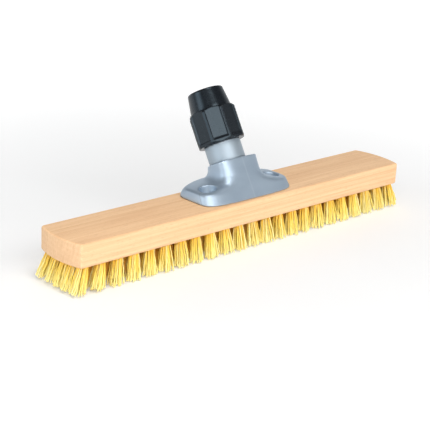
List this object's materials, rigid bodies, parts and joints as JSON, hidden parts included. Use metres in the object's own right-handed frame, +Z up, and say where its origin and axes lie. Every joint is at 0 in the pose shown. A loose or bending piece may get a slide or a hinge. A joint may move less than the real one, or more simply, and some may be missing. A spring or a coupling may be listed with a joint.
{
  "type": "floor scrub brush",
  "caption": "Floor scrub brush: wooden block set with stiff yellow bristle tufts, carrying a leaning grey holder whose black clamp nut grips a round handle.",
  "frame": {"origin": "on the floor, in the plane of the trimmed bristle tips, under the middle of the block", "axes": "+X along the block, +Y to the back, the way the handle leans, +Z up"},
  "size_m": [0.4023, 0.09, 0.1369],
  "materials": {
    "beech": "sanded, unvarnished",
    "bristle": "stiff translucent fibre",
    "grey_moulding": "satin moulded",
    "black_moulding": "satin moulded",
    "pale_nylon": "moulded",
    "zinc_steel": "zinc plated"
  },
  "bodies": {
    "brush_head": {"wood_block": "beech", "bristles_left": "bristle", "bristles_middle": "bristle", "bristles_right": "bristle", "handle_holder": "grey_moulding", "holder_screw_left": "zinc_steel", "holder_screw_right": "zinc_steel"},
    "collet": {"clamp_collet": "pale_nylon"},
    "nut": {"clamp_nut": "black_moulding"}
  },
  "joints": [
    {"name": "collet_slide", "type": "slide", "parent": "brush_head", "child": "collet", "axis": [0, 0.5225, 0.8526], "range_m": [0, 0.006]},
    {"name": "nut_turn", "type": "hinge", "parent": "collet", "child": "nut", "pos_m": [0, 0.03499, 0.10739], "axis": [0, 0.5225, 0.8526], "range_deg": [0, 540]}
  ],
  "couplings": [
    {"joint": "collet_slide", "follows": "nut_turn", "m_per_rad": 0.0006366}
  ]
}
